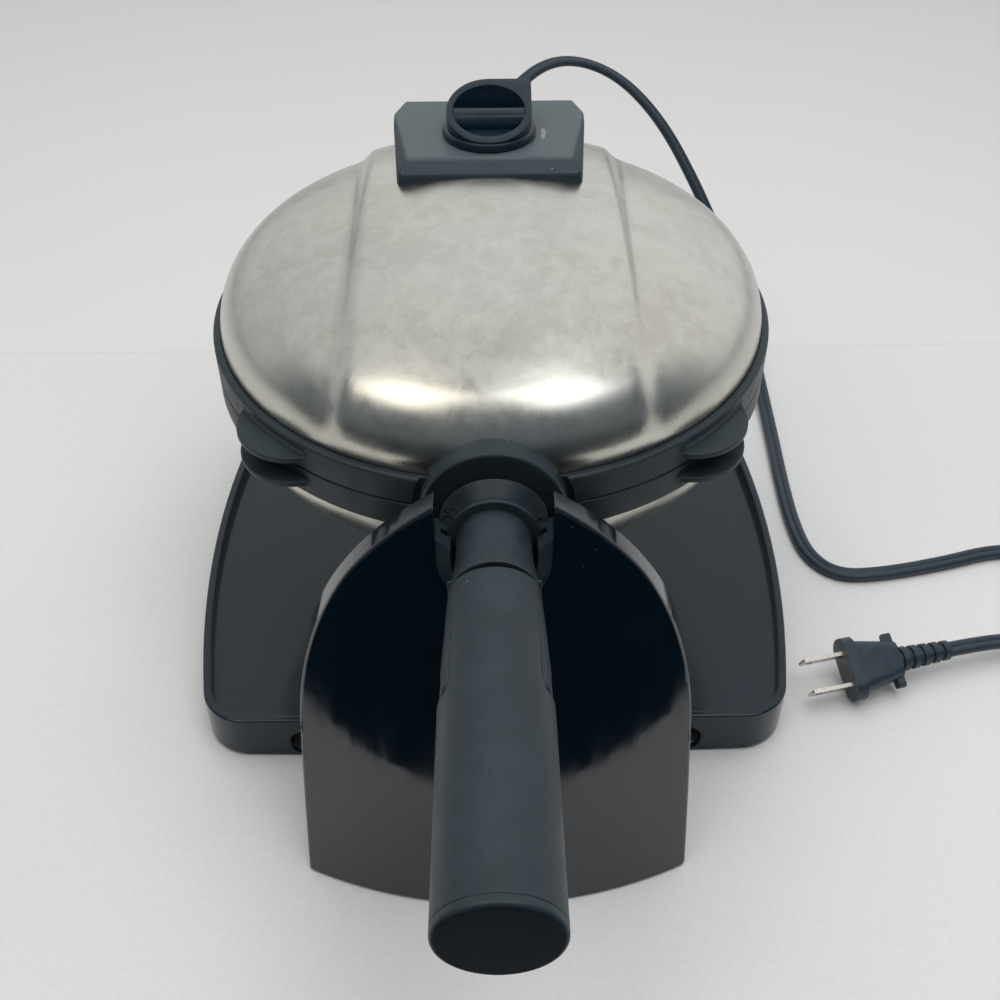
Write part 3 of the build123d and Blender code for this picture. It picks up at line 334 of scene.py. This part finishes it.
line = smooth_line("cord_line", cord_points)
aheads = [line[min(i + 1, len(line) - 1)] - line[max(i - 1, 0)] for i in range(len(line))]
core_sides = 10
open_angle = degrees(atan2(sqrt(cord_core_r**2 - cord_core_x**2), -cord_core_x))
section = []
for side in (1, -1):
    for step in range(core_sides + 1):
        angle = radians(open_angle * (1 - 2 * step / core_sides))
        section.append((side * (cord_core_x + cord_core_r * cos(angle)), side * cord_core_r * sin(angle)))
where_cores_meet_again = (core_sides + 1, 2 * core_sides + 1)
section = [p for i, p in enumerate(section) if i not in where_cores_meet_again]
places = [flat_frame(at, ahead) for at, ahead in zip(line, aheads)]
bm = bmesh.new()
ring, edges = closed_ring(bm, [places[0] @ Vector((x, y, 0)) for x, y in section])
bm.faces.new(ring)
for before, after in zip(places, places[1:]):
    grown = bmesh.ops.extrude_edge_only(bm, edges=edges)["geom"]
    edges = edges_of(grown)
    bmesh.ops.transform(bm, matrix=after @ before.inverted(), verts=verts_of(grown))
bmesh.ops.contextual_create(bm, geom=edges)
bmesh.ops.recalc_face_normals(bm, faces=bm.faces)
cord = new_piece("lead", bm, 50)
vinyl = Finish("black_vinyl", Specular_IOR_Level=0.5)
vinyl_mottle = vinyl.noise(vinyl.place(), 220, 4)
vinyl.drive("Base Color", vinyl.mix(vinyl_mottle, (0.013, 0.026, 0.042), (0.024, 0.042, 0.062)))
vinyl.drive("Roughness", vinyl.between(vinyl_mottle, 0.35, 0.7, 0.34, 0.5))
vinyl.bump(vinyl.noise(vinyl.place(), 900, 3), 0.12, 0.3 * MM)
vinyl.give(cord, "strain_relief", "plug_body")
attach(cord, "base")
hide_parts("mains_cord")
nickel = Finish("nickel_blade", Base_Color=(0.66, 0.62, 0.55, 1), Metallic=1.0)
nickel.drive("Roughness", nickel.between(nickel.noise(nickel.place(), 500, 3), 0.3, 0.7, 0.2, 0.42))
nickel.give("plug_blades")

# Covers: stainless steel pressings, brushed from side to side, mottled by heat and water marks.
# The upper one has a wide raised band from front to rear, pressed with soft edges.
AXIS_Z = 129 * MM
rim_top = AXIS_Z + 11 * MM
cover_r = 99 * MM
cover_sheet = 0.9 * MM
dome_height = 43 * MM
shoulder_r = 26 * MM
skirt_depth = 4.9 * MM
band_half_low = 51.5 * MM
band_lean = 0.155
band_rise_top = 5 * MM
band_rise_low = 0.5 * MM
band_edge = 3.6 * MM
band_fade = 6 * MM
knob_y = HEAD_Y + 30 * MM
knob_hole_r = 7 * MM
crown_r = ((cover_r - shoulder_r) ** 2 + dome_height**2 - shoulder_r**2) / (2 * (dome_height - shoulder_r))
crown_z = dome_height - crown_r


def soft_step(value):
    """A smooth rise from 0 to 1 over the values from 0 to 1."""
    value = min(max(value, 0), 1)
    return value * value * (3 - 2 * value)


def band_lift(x, rise):
    """How far the raised band stands out of the plain dome."""
    inside = band_half_low - band_lean * rise - abs(x)
    lift = band_rise_low + (band_rise_top - band_rise_low) * min(rise / dome_height, 1)
    return lift * soft_step(inside / (2 * band_edge) + 0.5) * soft_step(rise / band_fade)


def cover_top(x, y):
    """Height of the upper cover's crown over the table."""
    rise = crown_z + sqrt(crown_r**2 - x**2 - (y - HEAD_Y) ** 2)
    return rim_top + rise + band_lift(x, rise)


meeting = atan2(-crown_z, cover_r - shoulder_r)
shoulder_steps = 16
crown_steps = 48
spin_steps = 220
outline = [(cover_r, -skirt_depth), (cover_r, -skirt_depth / 2)]
for step in range(shoulder_steps + 1):
    angle = meeting * step / shoulder_steps
    outline.append((cover_r - shoulder_r + shoulder_r * cos(angle), shoulder_r * sin(angle)))
for step in range(1, crown_steps + 1):
    angle = meeting + (pi / 2 - meeting) * step / crown_steps
    outline.append((crown_r * cos(angle), crown_z + crown_r * sin(angle)))
bm = bmesh.new()
spots = [bm.verts.new((r, HEAD_Y, rim_top + z)) for r, z in outline]
lines = [bm.edges.new(pair) for pair in zip(spots, spots[1:])]
bmesh.ops.spin(
    bm,
    geom=spots + lines,
    cent=(0, HEAD_Y, 0),
    axis=(0, 0, 1),
    angle=2 * pi,
    steps=spin_steps,
    use_merge=True,
)
bmesh.ops.remove_doubles(bm, verts=bm.verts, dist=1e-6)
bmesh.ops.recalc_face_normals(bm, faces=bm.faces)
bm.normal_update()
for vert in bm.verts:
    rise = vert.co.z - rim_top
    if rise > 0:
        vert.co += vert.normal * band_lift(vert.co.x, rise)
knob_spot = Vector((0, knob_y))
hidden = [v for v in bm.verts if (v.co.xy - knob_spot).length < knob_hole_r]
bmesh.ops.delete(bm, geom=hidden, context="VERTS")
upper_cover = new_piece("steel_upper_cover", bm, 70)
skin = upper_cover.modifiers.new("skin", "SOLIDIFY")
skin.thickness = cover_sheet
skin.offset = -1

steel = Finish("brushed_steel", Metallic=1.0)
brushing = steel.noise(steel.place((60, 2600, 2600)), 1, 3, 0.6)
cloud = steel.noise(steel.place(), 38, 6, 0.68, 0.6)
marks = steel.noise(steel.place(), 170, 6, 0.72, 0.4)
wide = steel.noise(steel.place(), 14, 2)
blotch = steel.between(cloud * 0.5 + marks * 0.5, 0.42, 0.58)
ground = steel.mix(steel.between(wide, 0.42, 0.62), (0.665, 0.67, 0.625), (0.655, 0.64, 0.565))
stained = steel.mix(blotch * 0.7, ground, (0.79, 0.79, 0.745))
specks = steel.between(steel.noise(steel.place(), 620, 3, 0.6), 0.62, 0.75)
stained = steel.mix(specks * 0.4, stained, (0.5, 0.49, 0.42))
steel_z = steel.axes(steel.place())[2]
near_rim = steel.between(steel_z, AXIS_Z + 10 * MM, AXIS_Z + 33 * MM, 1, 0)
scorch = near_rim * steel.between(marks * 0.5 + cloud * 0.5, 0.36, 0.66)
steel.drive("Base Color", steel.mix(scorch * 0.6, stained, (0.38, 0.33, 0.22)))
steel.drive("Roughness", steel.between(blotch * 0.25 + brushing * 0.4, 0.1, 0.6, 0.27, 0.34))
steel.bump(brushing, 0.12, 0.06 * MM)
steel.give(upper_cover, "lower_cover")
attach(upper_cover, "lid")
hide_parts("upper_cover")

# Rims, collar and neck: matt black phenolic with the soft edges of a moulding.
# Each is the CAD solid with its corners rounded. The collar and the neck are drawn in at their
# sides, and the lift tabs are turned a little towards the front.
weld_distance = 0.003 * MM
flat_angle = radians(0.6)
corner_angle = radians(32)


def corners_of(bm, angle):
    """The closed edges that stand out and turn by more than an angle."""
    return [e for e in bm.edges if e.is_manifold and e.is_convex and e.calc_face_angle() > angle]


def round_edges(bm, edges, width, segments=3, clamp=True):
    bmesh.ops.bevel(
        bm,
        geom=edges,
        offset=width,
        offset_type="OFFSET",
        affect="EDGES",
        segments=segments,
        profile=0.5,
        clamp_overlap=clamp,
        material=-1,
    )


def even_shading(piece):
    """Shade large faces flat, so that only the rounded corners catch the light."""
    shading = piece.modifiers.new("even_shading", "WEIGHTED_NORMAL")
    shading.keep_sharp = True


def moulded(node, name, body, passes, reshape=None):
    """A copy of a CAD node whose chosen outward corners are rounded."""
    bm = bmesh.new()
    bm.from_mesh(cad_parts[node].data)
    bmesh.ops.remove_doubles(bm, verts=bm.verts, dist=weld_distance)
    bmesh.ops.dissolve_limit(bm, angle_limit=flat_angle, verts=bm.verts, edges=bm.edges)
    if reshape:
        for vert in bm.verts:
            reshape(vert.co)
    for width, segments, chosen in passes:
        bm.normal_update()
        corners = [e for e in corners_of(bm, corner_angle) if chosen(e)]
        round_edges(bm, corners, width, segments, clamp=False)
    piece = new_piece(name, bm, 38)
    even_shading(piece)
    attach(piece, body)
    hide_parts(node)
    return piece


def anywhere(edge):
    return True


collar_front = HEAD_Y - 106.5 * MM
neck_core = 17.3 * MM
collar_squeeze = 0.92
neck_squeeze = 0.88
neck_squeeze_pace = 2.2
squeeze_end = HEAD_Y - 158 * MM


def draw_in(place):
    """Narrow the collar and the neck from side to side."""
    over_axis = hypot(place.x, place.z - AXIS_Z)
    if place.y > collar_front and over_axis > neck_core:
        place.x *= collar_squeeze
    elif place.y < collar_front:
        share = min(max((place.y - squeeze_end) / (collar_front - squeeze_end), 0), 1)
        place.x *= 1 - (1 - neck_squeeze) * soft_step(neck_squeeze_pace * share)


def lint(finish, scale, core, edge, patches):
    """Specks that fade from a core to an edge, only where the mask of patches is."""
    inputs = {"Vector": finish.place(), "Scale": scale, "Randomness": 1.0}
    cells = finish.node("ShaderNodeTexVoronoi", {}, inputs)
    return finish.between(cells, core, edge, 1, 0) * patches


matt = Finish("matt_black_moulding", Specular_IOR_Level=0.45)
matt_cloud = matt.noise(matt.place(), 60, 5, 0.6)
matt_grain = matt.noise(matt.place(), 1400, 2)
matt_patches = matt.between(matt.noise(matt.place(), 31, 3), 0.56, 0.6)
matt_lint = lint(matt, 210, 0.035, 0.06, matt_patches)
matt_shade = matt.between(matt_cloud * 0.7 + matt_grain * 0.3, 0.35, 0.75)
matt_tone = matt.mix(matt_shade, (0.013, 0.023, 0.031), (0.024, 0.039, 0.05))
matt.drive("Base Color", matt.mix(matt_lint * 0.6, matt_tone, (0.3, 0.3, 0.3)))
matt.drive("Roughness", matt.between(matt_cloud, 0.3, 0.7, 0.4, 0.56))
matt.bump(matt_grain, 0.14, 0.2 * MM)
fine_corner = [(0.45 * MM, 2, anywhere)]
tab_bearing = radians(40.5)
tab_shift = radians(3)
tab_span = radians(15)
tab_fade = radians(15)
tab_root = 3 * MM


def turn_tabs(place):
    """Bring each lift tab a little nearer the front, along the rim."""
    along_y = HEAD_Y - place.y
    distance = hypot(place.x, along_y)
    bearing = atan2(along_y, abs(place.x))
    share = soft_step((tab_span + tab_fade - abs(bearing - tab_bearing)) / tab_fade)
    bearing += tab_shift * share * soft_step((distance - cover_r) / tab_root)
    place.x = copysign(distance * cos(bearing), place.x)
    place.y = HEAD_Y - distance * sin(bearing)


matt.give(
    moulded("upper_rim", "moulded_upper_rim", "lid", fine_corner, turn_tabs),
    moulded("lower_rim", "moulded_lower_rim", "lower_head", fine_corner, turn_tabs),
    moulded("lid_collar", "moulded_collar", "lid", fine_corner, draw_in),
    moulded("handle_neck", "moulded_neck", "lower_head", fine_corner, draw_in),
)

# Grip: the folding part of the handle, the same matt phenolic, with softened corners.
# Its end cap, the hinge's two parts, the cradle in the fork and the tongue under the tray have the
# same finish and keep the shape of the CAD.
grip_corner = [(0.6 * MM, 3, anywhere)]
matt.give(
    moulded("handle_grip", "moulded_grip", "grip", grip_corner),
    "grip_end_cap",
    "hinge_base",
    "lid_hinge_arm",
    "bearing_cradle",
    "base_frame",
)

# Control housing: bevelled box on the raised band, dusty grey-black plastic, screwed from inside. Its level
# top is painted a lighter grey, as painted light from above.
# A pale dial mark is left beside the knob. Its arm runs down the back of the cover to the hinge.
housing_shoulder_z = AXIS_Z + 59.7 * MM
housing_top_z = AXIS_Z + 64.2 * MM
housing_front_limit = HEAD_Y + 7 * MM
housing_rear_y = HEAD_Y + 56.9 * MM
housing_sink = 0.5 * MM
wall_drop = 3 * MM
housing_plan = [(-32.5, 6), (32.5, 6), (35.6, 46.5), (31.7, 57.2), (-31.7, 57.2), (-35.6, 46.5)]
housing_lid = [(-28.5, 11), (28.5, 11), (35.1, 46.3), (31.4, 56.9), (-31.4, 56.9), (-35.1, 46.3)]
bm = bmesh.new()
shoulder = [(x * MM, HEAD_Y + y * MM, housing_shoulder_z) for x, y in housing_plan]
ring, edges = closed_ring(bm, shoulder)
rising = bmesh.ops.extrude_edge_only(bm, edges=edges)["geom"]
for vert in verts_of(rising):
    nearest = min(range(len(ring)), key=lambda i: (ring[i].co - vert.co).length)
    x, y = housing_lid[nearest]
    vert.co = (x * MM, HEAD_Y + y * MM, housing_top_z)
bmesh.ops.contextual_create(bm, geom=edges_of(rising))
walls = bmesh.ops.extrude_edge_only(bm, edges=edges)["geom"]
bmesh.ops.translate(bm, vec=(0, 0, -wall_drop), verts=verts_of(walls))
bmesh.ops.recalc_face_normals(bm, faces=bm.faces)
bm.normal_update()
front_corners = [
    e
    for e in bm.edges
    if len(e.link_faces) == 2
    and abs(e.verts[0].co.x - e.verts[1].co.x) < 0.01 * MM
    and e.verts[0].co.y < housing_front_limit
    and abs(e.verts[0].co.z - e.verts[1].co.z) > 1 * MM
]
round_edges(bm, front_corners, 2.4 * MM, 4)
bm.normal_update()
sharp = [e for e in bm.edges if len(e.link_faces) == 2 and e.calc_face_angle() > radians(24)]
round_edges(bm, sharp, 0.8 * MM)
long_edges = [e for e in bm.edges if e.is_boundary and e.calc_length() > 8 * MM]
bmesh.ops.subdivide_edges(bm, edges=long_edges, cuts=9)
for vert in bm.verts:
    if vert.is_boundary:
        vert.co.z = cover_top(vert.co.x, vert.co.y) - housing_sink
arm = bmesh.new()
arm.from_mesh(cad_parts["control_housing"].data)
bmesh.ops.remove_doubles(arm, verts=arm.verts, dist=weld_distance)
bmesh.ops.bisect_plane(
    arm,
    geom=arm.verts[:] + arm.edges[:] + arm.faces[:],
    plane_co=(0, housing_rear_y, 0),
    plane_no=(0, 1, 0),
    clear_inner=True,
)
bmesh.ops.holes_fill(arm, edges=[e for e in arm.edges if e.is_boundary])
arm_mesh = bpy.data.meshes.new("housing_arm")
arm.to_mesh(arm_mesh)
arm.free()
bm.from_mesh(arm_mesh)
housing = new_piece("housing_box", bm, 38)
even_shading(housing)
dial_r = 19.6 * MM
dusty = Finish("dusty_housing_plastic", Specular_IOR_Level=0.45)
dusty_cloud = dusty.noise(dusty.place(), 70, 5, 0.6)
dusty_grain = dusty.noise(dusty.place(), 1500, 2)
dusty_x, dusty_y, dusty_z = dusty.axes(dusty.place())
# Painted light: the level top is a lighter grey than the sides, standing in for the light from above. The
# pale dial mark is printed on it.
level_top = dusty.between(dusty_z, housing_top_z - 1.2 * MM, housing_top_z - 0.2 * MM)
plain = dusty.mix(dusty_cloud, (0.018, 0.032, 0.05), (0.028, 0.045, 0.062))
painted_top_light = dusty.mix(dusty.between(dusty_cloud, 0.3, 0.7), (0.062, 0.085, 0.1), (0.082, 0.106, 0.12))
from_knob_y = dusty_y - knob_y
reach = (dusty_x * dusty_x + from_knob_y * from_knob_y) ** 0.5
arc = dusty.between(abs(reach - dial_r), 0.5 * MM, 0.9 * MM, 1, 0)
arc = arc * dusty.between(abs(from_knob_y + 1.5 * MM), 3 * MM, 5 * MM, 1, 0)
arc = arc * dusty.between(dusty_x, 0, 2 * MM) * dusty.between(dusty_cloud, 0.35, 0.5)
marked = dusty.mix(level_top, plain, dusty.mix(arc * 0.8, painted_top_light, (0.28, 0.29, 0.29)))
dusty_patches = dusty.between(dusty.noise(dusty.place(), 37, 3), 0.54, 0.58)
dusty_lint = lint(dusty, 190, 0.04, 0.075, dusty_patches)
dusty.drive("Base Color", dusty.mix(dusty_lint * 0.6, marked, (0.5, 0.5, 0.5)))
dusty.drive("Roughness", dusty.between(dusty_cloud, 0.3, 0.7, 0.36, 0.5))
dusty.bump(dusty_grain, 0.12, 0.2 * MM)
dusty.give(housing)
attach(housing, "lid")
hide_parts("control_housing")

# Browning knob: shiny black phenolic on its skirt, with one squared corner as the pointer.
# Its slanted face is dished, and a rounded finger bar crosses the dish.
knob_low = AXIS_Z + 64.6 * MM
knob_middle_z = AXIS_Z + 72.6 * MM
knob_r = 15.3 * MM
knob_blank_height = 26 * MM
slant_angle = radians(18)
skirt_r = 17 * MM
skirt_lean = 0.5 * MM
skirt_height = 2.5 * MM
skirt_overlap = 0.4 * MM
knob_middle = Vector((0, knob_y, knob_middle_z))
knob_slant = Matrix.Translation(knob_middle) @ Matrix.Rotation(slant_angle, 4, "X")
face_up = (knob_slant.to_3x3() @ Vector((0, 0, 1))).normalized()
dish_r = 13 * MM
dish_draft = 0.95
dish_floor_z = knob_low + skirt_height + 0.1 * MM
bar_r = 4.8 * MM
bar_length = 2 * dish_r - 0.6 * MM
bar_place = (0, -0.6 * MM, -bar_r + 0.1 * MM)
bm = bmesh.new()
outline = [(knob_r * cos(radians(a)), knob_r * sin(radians(a))) for a in range(90, 361, 6)]
outline.append((knob_r, knob_r))
body_low = knob_low + skirt_height - skirt_overlap
ring = [bm.verts.new((x, knob_y + y, body_low)) for x, y in outline]
grown = bmesh.ops.extrude_face_region(bm, geom=[bm.faces.new(ring)])["geom"]
bmesh.ops.translate(bm, vec=(0, 0, knob_blank_height), verts=verts_of(grown))
pointer_spot = Vector((knob_r, knob_y + knob_r))
pointer = [e for e in bm.edges if all((v.co.xy - pointer_spot).length < 0.01 * MM for v in e.verts)]
round_edges(bm, pointer, 1.6 * MM, 4)
bmesh.ops.bisect_plane(
    bm,
    geom=bm.verts[:] + bm.edges[:] + bm.faces[:],
    plane_co=knob_middle,
    plane_no=face_up,
    clear_outer=True,
)
outer_loop = [e for e in bm.edges if e.is_boundary]
disc = bmesh.ops.create_circle(bm, segments=48, radius=dish_r, matrix=knob_slant)["verts"]
dish_loop = [e for e in bm.edges if all(v in disc for v in e.verts)]
bmesh.ops.triangle_fill(bm, edges=outer_loop + dish_loop, use_beauty=True)
sunk_verts = verts_of(bmesh.ops.extrude_edge_only(bm, edges=dish_loop)["geom"])
for vert in sunk_verts:
    vert.co.z = dish_floor_z
bmesh.ops.scale(
    bm, vec=(dish_draft, dish_draft, 1), space=Matrix.Translation(-knob_middle), verts=sunk_verts
)
floor_edges = {e for v in sunk_verts for e in v.link_edges if all(u in sunk_verts for u in e.verts)}
bmesh.ops.contextual_create(bm, geom=list(floor_edges))
bmesh.ops.recalc_face_normals(bm, faces=bm.faces)
bm.normal_update()
knob_corner = radians(35)
round_edges(bm, corners_of(bm, knob_corner), 0.7 * MM)
bmesh.ops.create_cone(
    bm,
    cap_ends=True,
    segments=40,
    radius1=bar_r,
    radius2=bar_r,
    depth=bar_length,
    matrix=knob_slant @ Matrix.Translation(bar_place) @ Matrix.Rotation(pi / 2, 4, "Y"),
)
skirt = bmesh.ops.create_cone(
    bm,
    cap_ends=True,
    segments=72,
    radius1=skirt_r,
    radius2=skirt_r - skirt_lean,
    depth=skirt_height,
    matrix=Matrix.Translation((0, knob_y, knob_low + skirt_height / 2)),
)["verts"]
skirt_edges = {
    e for v in skirt for e in v.link_edges if e.is_manifold and e.calc_face_angle() > knob_corner
}
round_edges(bm, list(skirt_edges), 0.5 * MM, 2)
knob = new_piece("browning_knob_dished", bm, 36)
knob_plastic = Finish("knob_plastic", Specular_IOR_Level=0.5)
knob_cloud = knob_plastic.noise(knob_plastic.place(), 90, 4)
knob_plastic.drive("Base Color", knob_plastic.mix(knob_cloud, (0.004, 0.014, 0.026), (0.008, 0.022, 0.038)))
knob_plastic.drive("Roughness", knob_plastic.between(knob_cloud, 0.3, 0.7, 0.16, 0.28))
knob_plastic.give(knob)
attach(knob, "knob")
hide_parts("browning_knob")

# Pedestal and drip tray: polished black mouldings with rounded edges, dusty and a little smeared.
# The fork's outer edge is rounded more than the rest, and its foot is drawn in towards the table.
fork_slot_half = 18.4 * MM
fork_back_y = HEAD_Y - 112 * MM
foot_edge_z = 2 * MM
foot_taper = 0.043
foot_taper_z = 58.8 * MM


def border(edge):
    """Whether an edge is on the fork's outline, away from its slot and its foot."""
    middle = (edge.verts[0].co + edge.verts[1].co) / 2
    return abs(middle.x) > fork_slot_half and middle.y < fork_back_y and middle.z > foot_edge_z


def elsewhere(edge):
    return not border(edge)


def narrow_foot(place):
    """Draw the fork's foot in towards the table."""
    place.x *= 1 - foot_taper * max(1 - place.z / foot_taper_z, 0)


gloss = Finish("gloss_black_moulding", Specular_IOR_Level=0.95)
gloss_patches = gloss.between(gloss.noise(gloss.place(), 24, 4, 0.6), 0.48, 0.62)
gloss_lint = lint(gloss, 240, 0.03, 0.06, gloss_patches)
smear = gloss.noise(gloss.place((1, 1, 0.35), (0.2, 0.1, 0)), 60, 5, 0.65, 0.8)
gloss_tone = gloss.mix(smear, (0.0005, 0.004, 0.009), (0.0012, 0.007, 0.014))
gloss.drive("Base Color", gloss.mix(gloss_lint * 0.5, gloss_tone, (0.28, 0.3, 0.31)))
gloss.drive("Roughness", gloss.between(smear, 0.3, 0.75, 0.06, 0.17))
fork_corners = [(1.1 * MM, 3, border), (0.4 * MM, 2, elsewhere)]
gloss.give(
    moulded("pedestal_shell", "polished_pedestal", "base", fork_corners, narrow_foot),
    "pedestal_back",
)
tray_gloss = Finish("gloss_black_tray", Specular_IOR_Level=0.5)
tray_smear = tray_gloss.noise(tray_gloss.place((1, 1, 1), (0, 0, 0.4)), 34, 5, 0.62, 0.6)
tray_tone = tray_gloss.mix(tray_smear, (0.002, 0.011, 0.02), (0.004, 0.018, 0.03))
tray_gloss.drive("Base Color", tray_tone)
tray_gloss.drive("Roughness", tray_gloss.between(tray_smear, 0.3, 0.75, 0.1, 0.22))
tray_corner = [(0.9 * MM, 3, anywhere)]
tray_gloss.give(moulded("drip_tray", "polished_tray", "tray", tray_corner))

# Inside of the head: dark non-stick cast grids, with heaters, reflectors and a thermostat behind
# them in bare metal. The screws, the pins and the shaft of the knob are zinc plated.
coated = Finish("coated_casting", Roughness=0.45, Metallic=0.2)
coated_cloud = coated.noise(coated.place(), 45, 5, 0.6)
coated.drive("Base Color", coated.mix(coated_cloud, (0.022, 0.021, 0.02), (0.05, 0.045, 0.038)))
coated.bump(coated.noise(coated.place(), 1500, 3), 0.2, 0.2 * MM)
coated.give("upper_grid", "lower_grid")


def bare_metal(name, cloud_scale, cloud_detail, dark, light, smoothest, roughest):
    """A metal whose tone and roughness drift together."""
    metal = Finish(name, Metallic=1.0)
    cloud = metal.noise(metal.place(), cloud_scale, cloud_detail)
    metal.drive("Base Color", metal.mix(cloud, dark, light))
    metal.drive("Roughness", metal.between(cloud, 0.3, 0.7, smoothest, roughest))
    return metal


bright = bare_metal("bright_sheet", 60, 4, (0.66, 0.66, 0.65), (0.76, 0.76, 0.75), 0.28, 0.45)
bright.give("upper_reflector", "lower_reflector")
dull = bare_metal("dull_steel", 200, 4, (0.22, 0.2, 0.19), (0.36, 0.35, 0.33), 0.4, 0.6)
dull.give("upper_element", "lower_element", "thermostat")
zinc = bare_metal("zinc_steel", 400, 3, (0.5, 0.5, 0.49), (0.6, 0.6, 0.58), 0.28, 0.45)
zinc.give("upper_screws", "lower_screws", "pedestal_screws", "fold_pin", "hinge_pin", "knob_shaft")

# Feet: plain rubber pads on the underside of the base, the CAD solids with a fine grain.
# They are dark grey and dull, and only show from low down.
rubber = Finish("foot_rubber", Roughness=0.8)
rubber_grain = rubber.noise(rubber.place(), 900, 3)
rubber.drive("Base Color", rubber.mix(rubber_grain, (0.018, 0.018, 0.018), (0.034, 0.034, 0.034)))
rubber.bump(rubber_grain, 0.2, 0.3 * MM)
rubber.give("base_feet")
